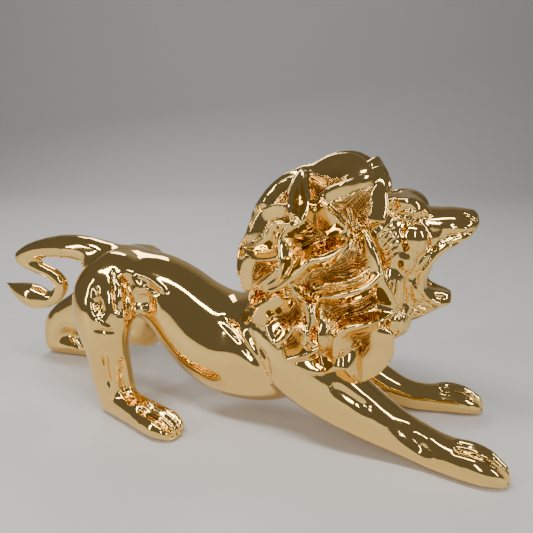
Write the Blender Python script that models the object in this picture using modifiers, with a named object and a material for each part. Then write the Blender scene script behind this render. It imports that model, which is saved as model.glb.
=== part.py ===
import bpy
import bmesh
import math
import numpy as np
from mathutils import Matrix, Vector
from mathutils.bvhtree import BVHTree

# The lion's length from the far heel to the toes of the near forepaw, in metres.
LENGTH = 0.375
# The free form is written in shares of that length, with +X to the nose and +Y to the far side.
SHARE = LENGTH / 375

# Grain of the body, of the head, of the mane before its locks, and of the whole lion.
BODY_GRAIN = 0.0019
HEAD_GRAIN = 0.0016
MANE_GRAIN = 0.0032
LION_GRAIN = 0.0014
# How many times the seams between the rounded masses are rubbed smooth.
BODY_RUBS = 9
HEAD_RUBS = 5
MANE_RUBS = 25
# How strongly each rub smooths, how much of the lost thickness comes back, and after how many rubs.
RUB = 0.5
SWELL = -0.52
RUBS_AT_A_TIME = 5
# Triangles that the finished solid keeps.
TRIANGLES = 9600
# Sides of a limb's section, and sections between two rows of a limb.
LIMB_SIDES = 28
TORSO_SIDES = 40
FOLD_SIDES = 12
LIMB_STEPS = 6
CAP_ANGLES = (0.4, 0.8, 1.2)
MASS_RINGS = (32, 20)
# Places read off a course between two of its points.
STROKE_STEPS = 8
CREST_STEPS = 10
# Finish of the polished gold plating.
GOLD_COLOUR = (0.92, 0.62, 0.2, 1.0)
GOLD_ROUGHNESS = 0.08

# Each row of a limb is x, y, z of its middle, half its width and half its height.
TORSO = (
    (-99, 0, 97, 14, 15), (-88, 0, 93, 24, 21), (-70, 0, 88, 28, 23), (-55, 0, 85, 27, 24),
    (-42, 0, 78, 27, 26.5), (-28, 0, 65.5, 29, 30.5), (-14, 0, 55.5, 32, 34.5), (0, 0, 50, 34, 37),
    (14, 0, 49.5, 36, 38), (28, 0, 53, 36, 39), (45, 0, 62, 34, 39), (60, 0, 74, 31, 38),
    (72, 0, 92, 28, 34), (84, 0, 108, 25, 28),
)
TAIL = (
    (-80, 0, 98, 14, 13), (-92, 0, 102.5, 12, 12), (-104, 0, 106.5, 10.5, 10.5),
    (-118, 0, 109, 9.6, 9.4), (-135, 0, 108.2, 8.6, 8.4), (-152, 0, 105, 7.2, 7.0),
    (-163, 0, 101.2, 6.2, 5.8), (-169.5, 0, 97.6, 5.4, 4.4), (-166, 0, 93.6, 5.2, 4.2),
    (-154, 0, 90.4, 5.4, 4.8), (-142, 0, 86.2, 5.6, 5.2), (-135.5, 0, 79.5, 5.4, 5.2),
    (-139, 0, 71.4, 5.4, 5.2), (-147, 0, 66.2, 6.4, 6.0), (-158, 0, 66.2, 9.0, 9.6),
    (-168, 0, 68.6, 8.6, 8.8), (-178, 0, 71.8, 4.8, 5.2), (-186, 0, 75.4, 1.2, 1.2),
)
NEAR_HIND_LEG = (
    (-74, -18, 97, 17, 20), (-78, -27, 88, 18, 23), (-79, -32, 76, 17.5, 22), (-78.5, -34, 63, 15.5, 18.6),
    (-77.5, -34, 50, 13.5, 15.6), (-77, -33.5, 38, 12.2, 15), (-76, -33, 26, 11.6, 15),
    (-74, -32.5, 15, 10.5, 14.5), (-73, -31.5, 9, 9.5, 12.5),
)
NEAR_HIND_FOOT = (
    (-80, -32, 8.6, 8.8, 8.8), (-68, -36, 10.5, 10.4, 11), (-54, -41, 10, 11, 10.8),
    (-42, -45, 8.6, 12.4, 9.2), (-31, -48, 7.6, 13.2, 8.4), (-24, -49.5, 6, 11, 6.6),
)
# The far hind leg crouches: its thigh drops to a low knee and the shank runs back over the foot.
FAR_THIGH = (
    (-74, 18, 93, 17, 17), (-79, 25, 80, 17, 23), (-81, 29, 64, 16.5, 24), (-83, 31, 49, 15.5, 22.5),
    (-84.5, 31.5, 38, 14, 18), (-85.5, 31.5, 34, 13, 15),
)
FAR_HAM = (
    (-84, 24, 83, 17, 19), (-99, 32, 74, 16.5, 18.5), (-117, 35.5, 63, 15, 16.5),
    (-135, 38, 53, 13.5, 14.5), (-153, 39.5, 43, 12, 13.5), (-166, 40, 36, 11.4, 12),
)
FAR_SHANK = (
    (-88, 31, 37, 13.5, 15), (-106, 33.5, 33, 12.5, 14), (-126, 36.5, 31.5, 12, 13.5),
    (-146, 39, 33, 11.6, 13.5), (-162, 40, 35, 11.4, 13.5), (-172, 40, 28, 11.2, 13),
    (-176, 39.5, 17, 10.5, 11.5), (-176.5, 39, 10, 10, 10.5),
)
FAR_HIND_FOOT = (
    (-177, 38.5, 8.8, 9, 9), (-165, 40, 9.6, 10.4, 10), (-151, 41.5, 9, 11, 9.4),
    (-139, 43, 8.2, 12.4, 8.8), (-128, 44.5, 7.6, 13.2, 8.4), (-121, 45.2, 6, 11, 6.6),
)
NEAR_FORELEG = (
    (34, -20, 76, 17, 29), (48, -25, 63, 18, 27), (64, -28, 49.5, 18, 24), (80, -29, 38.5, 17.5, 20.5),
    (95, -29, 29.5, 16, 17.6), (108, -29.5, 23, 14.4, 15.2), (121, -30.5, 17.6, 12.8, 13),
    (134, -32, 13.2, 12, 12), (146, -34.4, 11, 11.8, 11.3), (158, -36.4, 10.8, 13.2, 11.6),
    (169, -37.4, 9.0, 13.2, 9.8), (175.5, -37.6, 6.6, 10.5, 7.2),
)
FAR_FORELEG = (
    (34, 20, 76, 17, 29), (46, 25, 60, 17, 25), (60, 28, 46, 16.5, 21), (74, 29, 34.5, 15.5, 17.8),
    (88, 29, 26, 14.2, 15.2), (101, 29.5, 19.6, 12.8, 12.8), (113, 30.5, 14.8, 11.6, 11.2),
    (126, 32, 11.2, 11, 10.6), (138, 34.8, 9.8, 11, 10.2), (149, 37.4, 9.8, 12.4, 10.4),
    (160, 38.8, 8.4, 12.4, 9.2), (167, 39, 6.4, 10, 7),
)

# Rounded masses: x, y, z of the middle and the three half sizes; y is mirrored where it isn't nought.
BODY_MASSES = (
    (-80, 18, 91.5, 22, 18, 18), (42, 16, 72, 24, 22, 30), (-70, 0, 90, 26, 26, 20),
)
MANE_MASSES = (
    (58, 0, 122, 44, 45, 49), (76, 0, 148, 30, 33, 29.5), (36, 0, 111, 27.5, 34, 33),
    (84, 22, 84, 27, 26, 31), (56, 26, 81, 27, 22.5, 31), (86, 19, 108, 24, 27, 36),
)
MANE_MIDDLE = (60, 0, 118)
# Skull, throat, neck, chin tuft, forehead, cheeks, brows, whisker pads and nose.
HEAD_MASSES = (
    (97, 0, 138, 21, 25, 21), (103, 0, 112, 17, 21, 24), (111, 8, 117, 10, 9, 19),
    (104, 16, 106, 12, 10, 18), (107, 12, 84, 11, 9, 13), (110, 0, 80, 10, 9, 12),
    (108, 0, 149, 15, 16, 10.5), (105, 15.5, 129, 9, 8.5, 17), (127, 8, 136.5, 7, 6, 7),
    (113, 10.5, 151.6, 9.6, 8.6, 8), (117, 16.5, 136, 9, 8, 10.5), (113.8, 16.5, 124.5, 6.4, 7, 9.5),
    (121, 9.5, 122.5, 8.5, 7.6, 14), (119, 9.5, 107, 8, 7.6, 12), (138, 6.6, 139.8, 11.6, 6.6, 6.2),
    (147.2, 0, 147.2, 4.6, 6.6, 4.6),
)
SNOUT = (
    (100, 0, 142, 19, 15), (112, 0, 141, 17, 12.5), (122, 0, 141.4, 14.5, 11), (131, 0, 142.2, 13, 10),
    (138, 0, 143.2, 12.2, 9.4), (144.3, 0, 143.8, 10.4, 8.4),
)
JAW = (
    (98, 0, 90, 17, 16), (110, 0, 90, 14.5, 13), (121, 0, 92.3, 12, 10), (130, 0, 95.2, 9.5, 7.4),
    (137, 0, 96.6, 7, 5.2),
)
TONGUE = ((106, 0, 101, 8, 4), (118, 0, 100.5, 6, 3.4), (127, 0, 101.5, 4.5, 2.4))
BROW_RIDGE = (
    (101, -14.5, 154.6, 3, 3), (106.5, -15.6, 156.4, 3.4, 3.2), (113, -15.2, 156.6, 3.4, 3.2),
    (119, -12.6, 154.4, 3, 3), (122.6, -9.6, 150.6, 2.2, 2.4),
)
UPPER_LIP = (
    (141, -7.5, 134, 2.6, 2.6), (134, -11.3, 131.2, 3.2, 3.2), (127.6, -13.2, 124.5, 3.3, 3.3),
    (122.6, -14, 117, 3.3, 3.3), (121.8, -13.4, 109, 3.1, 3.1), (124.6, -12.6, 102.6, 2.8, 2.8),
    (128.8, -11, 98.8, 2.5, 2.5), (134.6, -8.6, 96, 2.4, 2.4), (139.6, -4.4, 96, 2.2, 2.2),
)
LOWER_LIP = (
    (123.5, -11, 105.8, 2.4, 2.4), (128.5, -7.6, 102.4, 2.2, 2.2), (134.6, -5.2, 101, 2.0, 2.0),
    (140, -2.6, 100, 1.8, 1.8),
)

# Crests of the mane's locks on the near side. Each has its slope's reach to its left and to its
# right, its share of the full height where it starts and where it ends, and its turns, in degrees
# forward and up from straight out sideways. The far side has the same crests, turned a little.
CRESTS = (
    (20, 8, 1.0, 1.0, ((37, 62), (24, 58), (13, 55), (9, 49), (17, 40), (27, 32), (26, 22), (16, 15),
                       (4, 11), (-9, -2), (-20, -11), (-32, -13))),
    (8, 16, 0.7, 1.0, ((-15, 80), (-5, 63), (0, 47), (-4, 35), (-13, 29), (-16, 21), (-14, 8),
                       (-16, -3), (-27, -11))),
    (8, 10, 0.7, 0.95, ((-16, 80), (-15, 64), (-13, 46), (-10, 39))),
    (14, 7, 0.8, 0.9, ((-12, 45), (-25, 45), (-37, 39), (-45, 22))),
    (9, 9, 0.95, 0.95, ((-10, 33), (-22, 32), (-28, 22), (-38, 16), (-50, 13), (-37, 8), (-26, 9),
                        (-16, 12))),
    (10, 10, 0.75, 0.8, ((-54, 4), (-55, -8), (-54, -23))),
    (8, 10, 1.0, 1.0, ((-17, 3), (-27, -7), (-39, -17), (-45, -28), (-40, -38), (-31, -38),
                       (-25, -28), (-12, -18))),
    (14, 8, 1.0, 1.0, ((40, 28), (43, 12), (45, 0), (49, -10), (51, -17), (47, -23), (38, -25),
                       (28, -27), (22, -32), (20, -40))),
    (18, 6, 1.0, 1.0, ((44, 3), (37, -3), (24, -10), (10, -19), (6, -25), (8, -31), (13, -36),
                       (8, -41), (-6, -45))),
    (7, 9, 0.9, 0.9, ((-7, -7), (-2, -17), (3, -24), (5, -31), (2, -39))),
    (12, 8, 1.0, 1.0, ((-2, -48), (12, -55), (23, -45), (30, -57), (38, -50), (44, -42), (46, -32))),
    (7, 14, 1.0, 1.0, ((43, 68), (44, 59), (48, 48), (49, 40))),
    (10, 20, 0.72, 0.95, ((-17, 88), (-3, 88), (13, 86), (27, 79), (37, 64))),
    (8, 8, 0.66, 0.62, ((-20, 74), (-36, 66), (-44, 52), (-57, 47), (-72, 48))),
    (8, 8, 0.62, 0.66, ((-46, 36), (-60, 32), (-66, 18), (-78, 10), (-82, -8), (-74, -22))),
    (7, 9, 0.9, 0.9, ((-20, -35), (-14, -40), (-8, -37), (-3, -32), (3, -35), (6, -39))),
    (6, 6, 0.62, 0.62, ((43, 14), (42, 8), (37, 3), (28, -2), (18, -6), (8, -10))),
)
# The crest down the back of the neck, which is on neither side.
NAPE_CRESTS = (
    (9, 9, 0.7, 0.64, ((-17, 88.4), (-36, 80), (-50, 76), (-66, 62), (-74, 48), (-87, 26), (-92, 4))),
)
CREST_HEIGHT = 15
CREST_SHARPNESS = 1.45
# The share of the height at which the mane's smooth mass lies, and the rounding of tips and valleys.
CREST_FOOT = 0.52
TIP_ROUND = 0.8
VALLEY_ROUND = 0.05
FAR_TURN = 4

# Strokes on the near side: depth, breadth, whether the far side has it too, and its course.
STROKES = (
    (5.0, 4.5, 1, ((-62, -30, 106), (-58, -33, 97), (-57, -38, 87), (-58, -42, 75))),
    (2.2, 3.2, 0, ((-77, -43, 99), (-74, -48, 86), (-71, -49, 78), (-66, -48, 73), (-61, -45, 69))),
    (2.0, 3.0, 0, ((-73, -48, 54), (-73, -45, 38), (-72, -42, 24))),
    (1.8, 3.0, 0, ((-63, -43, 49), (-62, -41, 33), (-55, -42, 20))),
    (8.0, 9.0, 1, ((-52, -27, 86), (-52, -26, 74))),
    (3.0, 2.8, 1, ((-2, -26, 82), (10, -31, 74), (21, -37, 64), (31, -40, 52), (38, -38, 40))),
    (-1.8, 3.0, 1, ((4, -28, 84), (16, -32, 76), (27, -38, 65), (37, -41, 53))),
    (2.2, 4.0, 1, ((74, -45, 56), (86, -45, 48), (96, -43, 41), (105, -42, 35))),
    (2.4, 4.5, 1, ((117, -40, 28), (126, -41, 22), (134, -43, 17))),
)
# Each paw: where its toes part, where they end, half its width and its height.
PAWS = (
    ((155, -36), (182, -38), 12.5, 21), ((146, 37), (173, 39.5), 12, 20),
    ((-41, -45), (-17, -52), 12.5, 17), ((-137, 43.5), (-114, 46), 12.5, 17),
)
TOE_DEPTH = 2.8
TOE_BREADTH = 1.9
# Where the grooves between four toes lie across the paw, in shares of its half width.
TOE_GAPS = (-0.5, 0.0, 0.5)
# A groove's course: how far along it is, and its height as a share of the paw's.
TOE_COURSE = ((0.0, 1.0), (0.5, 0.85), (0.9, 0.6), (1.05, 0.2))
# The height at which the paws are pressed flat, and how exactly.
SOLE_LEVEL = 0.6
SOLE_EXACTNESS = 0.001


def clear_scene():
    for thing in list(bpy.data.objects):
        bpy.data.objects.remove(thing, do_unlink=True)


def make_gold():
    gold = bpy.data.materials.new("polished_gold")
    gold.use_nodes = True
    shader = gold.node_tree.nodes["Principled BSDF"]
    shader.inputs["Base Color"].default_value = GOLD_COLOUR
    shader.inputs["Metallic"].default_value = 1.0
    shader.inputs["Roughness"].default_value = GOLD_ROUGHNESS
    return gold


def add_object(name, mesh):
    thing = bpy.data.objects.new(name, mesh)
    bpy.context.scene.collection.objects.link(thing)
    return thing


def spline(rows, steps):
    """Return rows read off a smooth curve through the given rows."""
    rows = np.array(rows, dtype=float)
    padded = np.vstack((2 * rows[0] - rows[1], rows, 2 * rows[-1] - rows[-2]))
    out = []
    for i in range(1, len(padded) - 2):
        before, start, end, after = padded[i - 1:i + 3]
        for t in np.arange(steps) / steps:
            out.append(0.5 * (2 * start + (end - before) * t
                              + (2 * before - 5 * start + 4 * end - after) * t ** 2
                              + (3 * start - before - 3 * end + after) * t ** 3))
    out.append(rows[-1])
    return np.array(out)


def limb(name, rows, sides=LIMB_SIDES):
    """Loft a round-ended limb through elliptical sections."""
    rings = spline(rows, LIMB_STEPS) * SHARE
    middles = rings[:, :3]
    tangents = np.gradient(middles, axis=0)
    tangents /= np.linalg.norm(tangents, axis=1)[:, None]
    sections = []
    for cap_angle in reversed(CAP_ANGLES):
        sections.append((middles[0] - tangents[0] * math.sin(cap_angle) * rings[0, 3:].min(),
                         tangents[0], rings[0, 3:] * math.cos(cap_angle)))
    sections += [(middles[i], tangents[i], rings[i, 3:]) for i in range(len(rings))]
    for cap_angle in CAP_ANGLES:
        sections.append((middles[-1] + tangents[-1] * math.sin(cap_angle) * rings[-1, 3:].min(),
                         tangents[-1], rings[-1, 3:] * math.cos(cap_angle)))
    form = bmesh.new()
    loops = []
    for middle, tangent, (half_width, half_height) in sections:
        across = np.array((0.0, 1.0, 0.0)) - tangent[1] * tangent
        across /= np.linalg.norm(across)
        upward = np.cross(tangent, across)
        loops.append([form.verts.new(middle + across * half_width * math.cos(a)
                                     + upward * half_height * math.sin(a))
                      for a in np.arange(sides) * 2 * math.pi / sides])
    for first, second in zip(loops, loops[1:]):
        for i in range(sides):
            j = (i + 1) % sides
            form.faces.new((first[i], first[j], second[j], second[i]))
    form.faces.new(loops[0])
    form.faces.new(loops[-1])
    bmesh.ops.recalc_face_normals(form, faces=form.faces)
    mesh = bpy.data.meshes.new(name)
    form.to_mesh(mesh)
    form.free()
    return add_object(name, mesh)


def mass(name, row, side=1):
    """Add a rounded mass, on the far side for 1 and on the near side for -1."""
    x, y, z, half_x, half_y, half_z = row
    form = bmesh.new()
    place = Matrix.Translation(Vector((x, y * side, z)) * SHARE)
    size = Matrix.Diagonal(Vector((half_x, half_y, half_z)) * SHARE).to_4x4()
    bmesh.ops.create_uvsphere(form, u_segments=MASS_RINGS[0], v_segments=MASS_RINGS[1], radius=1,
                              matrix=place @ size)
    mesh = bpy.data.meshes.new(name)
    form.to_mesh(mesh)
    form.free()
    return add_object(name, mesh)


def masses(name, rows):
    made = []
    for row in rows:
        made.append(mass(name, row))
        if row[1]:
            made.append(mass(name, row, -1))
    return made


def mirrored(rows):
    return tuple((row[0], -row[1]) + tuple(row[2:]) for row in rows)


def evaluated(thing):
    graph = bpy.context.evaluated_depsgraph_get()
    return bpy.data.meshes.new_from_object(thing.evaluated_get(graph))


def settle(thing):
    """Apply the modifiers of an object."""
    mesh = evaluated(thing)
    thing.modifiers.clear()
    thing.data = mesh
    return thing


def fuse(name, pieces, grain):
    """Join closed pieces into one skin, as clay is pressed together."""
    form = bmesh.new()
    for piece in pieces:
        form.from_mesh(piece.data)
        bpy.data.objects.remove(piece, do_unlink=True)
    mesh = bpy.data.meshes.new(name)
    form.to_mesh(mesh)
    form.free()
    thing = add_object(name, mesh)
    skin = thing.modifiers.new("skin", "REMESH")
    skin.mode = "VOXEL"
    skin.voxel_size = grain
    return settle(thing)


def smooth(thing, rubs):
    """Rub the skin smooth a few rubs at a time, each time bringing the lost thickness back."""
    for done in range(0, rubs, RUBS_AT_A_TIME):
        for name, factor in (("rub", RUB), ("swell", SWELL)):
            pass_over = thing.modifiers.new(name, "SMOOTH")
            pass_over.factor = factor
            pass_over.iterations = min(RUBS_AT_A_TIME, rubs - done)
    return settle(thing)


def skin_tree(thing):
    return BVHTree.FromPolygons([v.co for v in thing.data.vertices],
                                [face.vertices[:] for face in thing.data.polygons])


def skin_arrays(thing):
    """Return the points of a skin and its normals."""
    count = len(thing.data.vertices)
    points = np.empty(count * 3)
    normals = np.empty(count * 3)
    thing.data.vertices.foreach_get("co", points)
    thing.data.vertices.foreach_get("normal", normals)
    return points.reshape(-1, 3), normals.reshape(-1, 3)


def place_skin(thing, points):
    thing.data.vertices.foreach_set("co", points.ravel())
    thing.data.update()


def nearest(points, course):
    """Return each point's distance to the nearest place of a course."""
    out = np.full(len(points), 1e9)
    for place in course:
        out = np.minimum(out, ((points - place) ** 2).sum(axis=1))
    return np.sqrt(out)


def laid(tree, course, steps):
    """Read a smooth course through the points and lay it on the skin."""
    rows = spline(course, steps) * SHARE
    return np.array([tree.find_nearest(Vector(row))[0] for row in rows])


def carve(thing, strokes):
    """Press strokes into the skin, or raise them where the depth is below nought."""
    tree = skin_tree(thing)
    points, normals = skin_arrays(thing)
    depth = np.zeros(len(points))
    for deep, broad, course in strokes:
        away = nearest(points, laid(tree, course, STROKE_STEPS))
        depth += deep * SHARE * np.exp(-(away / (broad * SHARE)) ** 2)
    place_skin(thing, points - normals * depth[:, None])


def body_strokes():
    strokes = []
    for deep, broad, both, course in STROKES:
        strokes.append((deep, broad, course))
        if both:
            strokes.append((deep, broad, mirrored(course)))
    for start, end, half_width, height in PAWS:
        ahead = Vector((end[0] - start[0], end[1] - start[1])).normalized()
        for toe_gap in TOE_GAPS:
            aside = Vector((-ahead.y, ahead.x)) * toe_gap * half_width
            course = []
            for along, high in TOE_COURSE:
                spot = Vector(start).lerp(Vector(end), along) + aside
                course.append((spot.x, spot.y, height * high))
            strokes.append((TOE_DEPTH, TOE_BREADTH, course))
    return strokes


def crest_courses(tree):
    """Lay the crests of both sides on the mane."""
    middle = Vector(MANE_MIDDLE) * SHARE
    courses = []
    for side in (-1, 1):
        for left, right, starts, ends, turns in CRESTS + (NAPE_CRESTS if side == -1 else ()):
            course = []
            for ahead, above in spline(turns, CREST_STEPS):
                out = math.radians(math.hypot(ahead, above))
                turn = math.atan2(above, ahead)
                if side == 1:
                    turn += math.radians(FAR_TURN)
                way = Vector((math.sin(out) * math.cos(turn), side * math.cos(out),
                              math.sin(out) * math.sin(turn)))
                course.append(tree.ray_cast(middle, way)[0])
            reaches = (left, right) if side == -1 else (right, left)
            courses.append((reaches, (starts, ends), np.array(course)))
    return courses


def beside(points, normals, course):
    """Return each point's distance to a course, how far along it is, and how far to its left."""
    away = np.full(len(points), 1e9)
    where = np.zeros(len(points), dtype=int)
    for i, place in enumerate(course):
        gap = ((points - place) ** 2).sum(axis=1)
        closer = gap < away
        away[closer] = gap[closer]
        where[closer] = i
    away = np.sqrt(away)
    forward = np.gradient(course, axis=0)
    forward /= np.linalg.norm(forward, axis=1)[:, None]
    leftward = np.cross(normals, forward[where])
    lean = ((points - course[where]) * leftward).sum(axis=1) / np.maximum(away, 1e-7)
    return away / SHARE, where / (len(course) - 1), np.clip(lean, -1, 1)


def comb(thing):
    """Raise the locks: sharp crests, steep on one side, with hollows between them."""
    points, normals = skin_arrays(thing)
    total = np.zeros(len(points))
    for (left, right), (starts, ends), course in crest_courses(skin_tree(thing)):
        away, along, lean = beside(points, normals, course)
        reach = (left + right) / 2 + (left - right) / 2 * lean
        rounded = np.sqrt(away ** 2 + TIP_ROUND ** 2) - TIP_ROUND
        lock = np.clip(1 - rounded / reach, 0, 1) ** CREST_SHARPNESS * (starts + (ends - starts) * along)
        total += np.exp(lock / VALLEY_ROUND) - 1
    rise = VALLEY_ROUND * np.log(1 + total)
    place_skin(thing, points + normals * ((rise - CREST_FOOT) * CREST_HEIGHT * SHARE)[:, None])


def divide(thing):
    """Divide each face of the skin in four on a smooth surface."""
    finer = thing.modifiers.new("finer", "SUBSURF")
    finer.levels = 1
    finer.render_levels = 1
    return settle(thing)


def build_body():
    pieces = [limb("torso", TORSO, TORSO_SIDES)]
    for rows in (TAIL, NEAR_HIND_LEG, NEAR_HIND_FOOT, FAR_THIGH, FAR_HAM, FAR_SHANK, FAR_HIND_FOOT,
                 NEAR_FORELEG, FAR_FORELEG):
        pieces.append(limb("limb", rows))
    pieces += masses("muscle", BODY_MASSES)
    body = smooth(fuse("body", pieces, BODY_GRAIN), BODY_RUBS)
    carve(body, body_strokes())
    return body


def build_head():
    pieces = masses("head", HEAD_MASSES)
    pieces += [limb("snout", SNOUT), limb("jaw", JAW), limb("tongue", TONGUE)]
    for rows in (BROW_RIDGE, UPPER_LIP, LOWER_LIP):
        pieces += [limb("fold", rows, FOLD_SIDES), limb("fold", mirrored(rows), FOLD_SIDES)]
    return smooth(fuse("head", pieces, HEAD_GRAIN), HEAD_RUBS)


def build_mane():
    mane = smooth(fuse("mane", masses("mane", MANE_MASSES), MANE_GRAIN), MANE_RUBS)
    comb(divide(mane))
    return mane


def slim(thing, triangles):
    """Thin the skin out to a number of triangles."""
    thing.data.calc_loop_triangles()
    thinner = thing.modifiers.new("thinner", "DECIMATE")
    thinner.ratio = triangles / len(thing.data.loop_triangles)
    thinner.use_collapse_triangulate = True
    return settle(thing)


def flatten_soles(thing):
    """Cut the paws flat and set the lion on its soles, over the middle of its box."""
    form = bmesh.new()
    form.from_mesh(thing.data)
    everything = form.verts[:] + form.edges[:] + form.faces[:]
    bmesh.ops.bisect_plane(form, geom=everything, dist=SOLE_EXACTNESS * SHARE,
                           plane_co=(0, 0, SOLE_LEVEL * SHARE), plane_no=(0, 0, -1),
                           clear_outer=True)
    rims = [edge for edge in form.edges if edge.is_boundary]
    bmesh.ops.holes_fill(form, edges=rims)
    bmesh.ops.triangulate(form, faces=form.faces)
    places = np.array([vert.co for vert in form.verts])
    low = places.min(axis=0)
    high = places.max(axis=0)
    shift = (-(low[0] + high[0]) / 2, -(low[1] + high[1]) / 2, -low[2])
    bmesh.ops.translate(form, verts=form.verts, vec=shift)
    form.to_mesh(thing.data)
    form.free()


def main():
    clear_scene()
    group = bpy.data.collections.new("lion_statue")
    bpy.context.scene.collection.children.link(group)
    lion = fuse("lion", [build_body(), build_head(), build_mane()], LION_GRAIN)
    slim(lion, TRIANGLES)
    flatten_soles(lion)
    bpy.context.scene.collection.objects.unlink(lion)
    group.objects.link(lion)
    lion.data.materials.clear()
    lion.data.materials.append(make_gold())
    lion.data.shade_smooth()


main()
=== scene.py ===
import math
import bpy
import numpy as np
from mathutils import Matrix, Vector
from mathutils.bvhtree import BVHTree


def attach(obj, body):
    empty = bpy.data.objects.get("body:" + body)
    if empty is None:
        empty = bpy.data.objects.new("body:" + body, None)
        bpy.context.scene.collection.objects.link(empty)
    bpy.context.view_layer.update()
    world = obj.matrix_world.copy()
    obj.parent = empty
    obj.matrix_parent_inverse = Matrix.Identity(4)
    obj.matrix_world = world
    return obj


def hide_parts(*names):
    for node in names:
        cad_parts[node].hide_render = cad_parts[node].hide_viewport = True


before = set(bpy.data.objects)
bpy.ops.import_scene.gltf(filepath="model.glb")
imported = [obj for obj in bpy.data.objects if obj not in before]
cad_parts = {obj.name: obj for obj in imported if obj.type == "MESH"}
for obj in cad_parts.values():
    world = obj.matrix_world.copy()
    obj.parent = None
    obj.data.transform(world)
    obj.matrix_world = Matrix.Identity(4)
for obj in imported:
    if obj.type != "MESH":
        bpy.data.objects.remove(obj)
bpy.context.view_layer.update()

# the sculpt is drawn in millimetres, nose to +X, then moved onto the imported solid
sculpt = {
    "millimetre": 0.001,
    "moveToFrame": (3.2196, 1.8061, -0.6),
    "fitShare": 0.9955,  # a hair smaller than drawn, so that it stays inside the solid
    "soleLevel": 0.6,  # what lies lower is cut off, which leaves flat soles
    "bodyGrain": 3.0,  # the grain at which each part is pressed together
    "headGrain": 1.5,
    "maneGrain": 2.4,
    "bodyRubs": 6,
    "headRubs": 4,
    "maneRubs": 45,
    "rubsAtATime": 5,
    "rub": 0.5,  # how far a rub takes a point, and how far it is given back
    "giveBack": -0.52,
    "torsoSides": 48,
    "limbSides": 36,
    "lipSides": 16,
    "limbSteps": 6,
    "limbCaps": (72, 48, 24),  # the rings of a limb's round end, in degrees
    "massSides": 40,
    "massRings": 24,
    "strokeSteps": 10,
    "strokeReach": 3.0,  # how many breadths from its course a stroke still cuts
    "fineWithin": 2.2,  # how many breadths from a stroke the skin is made finer, and is smoothed
    "smoothWithin": 2.6,
    "carvedRubs": 2,
    "seamWidth": 3,  # in edges from the seam, each softened by this share of the last
    "seamFade": 0.8,
    "seamRub": 0.6,
    "seamRubs": 6,
    "trianglesMost": 196000,
}
mm = sculpt["millimetre"]
leastLength = 1e-7


def deselectAll():
    if bpy.context.object and bpy.context.object.mode != "OBJECT":
        bpy.ops.object.mode_set(mode="OBJECT")
    bpy.ops.object.select_all(action="DESELECT")


def pick(*pieces):
    deselectAll()
    for piece in pieces:
        piece.select_set(True)
    bpy.context.view_layer.objects.active = pieces[0]


def finishWith(piece, kind, **settings):  # adds a modifier and applies it
    pick(piece)
    modifier = piece.modifiers.new(kind.lower(), kind)
    for key, value in settings.items():
        setattr(modifier, key, value)
    bpy.ops.object.modifier_apply(modifier=modifier.name)
    return piece


def smoothCourse(rows, steps):  # a smooth curve through the rows
    rows = np.array(rows, dtype=float)
    padded = np.vstack((2 * rows[0] - rows[1], rows, 2 * rows[-1] - rows[-2]))
    out = []
    for i in range(1, len(padded) - 2):
        before, start, end, after = padded[i - 1:i + 3]
        for t in np.arange(steps) / steps:
            out.append(0.5 * (2 * start + (end - before) * t
                              + (2 * before - 5 * start + 4 * end - after) * t ** 2
                              + (3 * start - before - 3 * end + after) * t ** 3))
    out.append(rows[-1])
    return np.array(out)


def getPoints(piece):
    points = np.empty(len(piece.data.vertices) * 3)
    piece.data.vertices.foreach_get("co", points)
    return points.reshape(-1, 3)


def getNormals(piece):
    normals = np.empty(len(piece.data.vertices) * 3)
    piece.data.vertices.foreach_get("normal", normals)
    return normals.reshape(-1, 3)


def setPoints(piece, points):
    piece.data.vertices.foreach_set("co", np.ascontiguousarray(points).ravel())
    piece.data.update()


def addLimb(rows, sides=sculpt["limbSides"]):
    # a ball drawn out along the course; each row is x, y, z, half width, half height
    rings = smoothCourse(rows, sculpt["limbSteps"])
    along = np.gradient(rings[:, :3], axis=0)
    along /= np.linalg.norm(along, axis=1)[:, None]
    caps = np.radians(sculpt["limbCaps"])
    sections = [(rings[0, :3] - along[0] * math.sin(a) * rings[0, 3:].min(), along[0],
                 rings[0, 3:] * math.cos(a)) for a in caps]
    sections += [(rings[i, :3], along[i], rings[i, 3:]) for i in range(len(rings))]
    sections += [(rings[-1, :3] + along[-1] * math.sin(a) * rings[-1, 3:].min(), along[-1],
                  rings[-1, 3:] * math.cos(a)) for a in caps[::-1]]
    ends = (rings[0, :3] - along[0] * rings[0, 3:].min(),
            rings[-1, :3] + along[-1] * rings[-1, 3:].min())
    deselectAll()
    bpy.ops.mesh.primitive_uv_sphere_add(segments=sides, ring_count=len(sections) + 1, radius=1)
    limb = bpy.context.object
    ball = getPoints(limb)
    drawn = np.empty_like(ball)
    for i, spot in enumerate(ball):
        ring = round(math.acos(max(-1, min(1, spot[2]))) / math.pi * (len(sections) + 1)) - 1
        if ring < 0 or ring >= len(sections):
            drawn[i] = ends[0] if ring < 0 else ends[1]
            continue
        middle, forward, (halfWidth, halfHeight) = sections[ring]
        across = np.array((0.0, 1.0, 0.0)) - forward[1] * forward
        across /= np.linalg.norm(across)
        upward = np.cross(forward, across)
        turn = math.atan2(spot[1], spot[0])
        drawn[i] = middle - across * halfWidth * math.cos(turn) + upward * halfHeight * math.sin(turn)
    setPoints(limb, drawn * mm)
    return limb


def addMass(row, side=1):
    x, y, z, halfX, halfY, halfZ = row
    deselectAll()
    bpy.ops.mesh.primitive_uv_sphere_add(segments=sculpt["massSides"], ring_count=sculpt["massRings"],
                                         radius=1, location=(x * mm, y * mm * side, z * mm),
                                         scale=(halfX * mm, halfY * mm, halfZ * mm))
    bpy.ops.object.transform_apply(location=True, rotation=True, scale=True)
    return bpy.context.object


def addMasses(rows):
    return [addMass(row, side) for row in rows for side in ((1, -1) if row[1] else (1,))]


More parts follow.
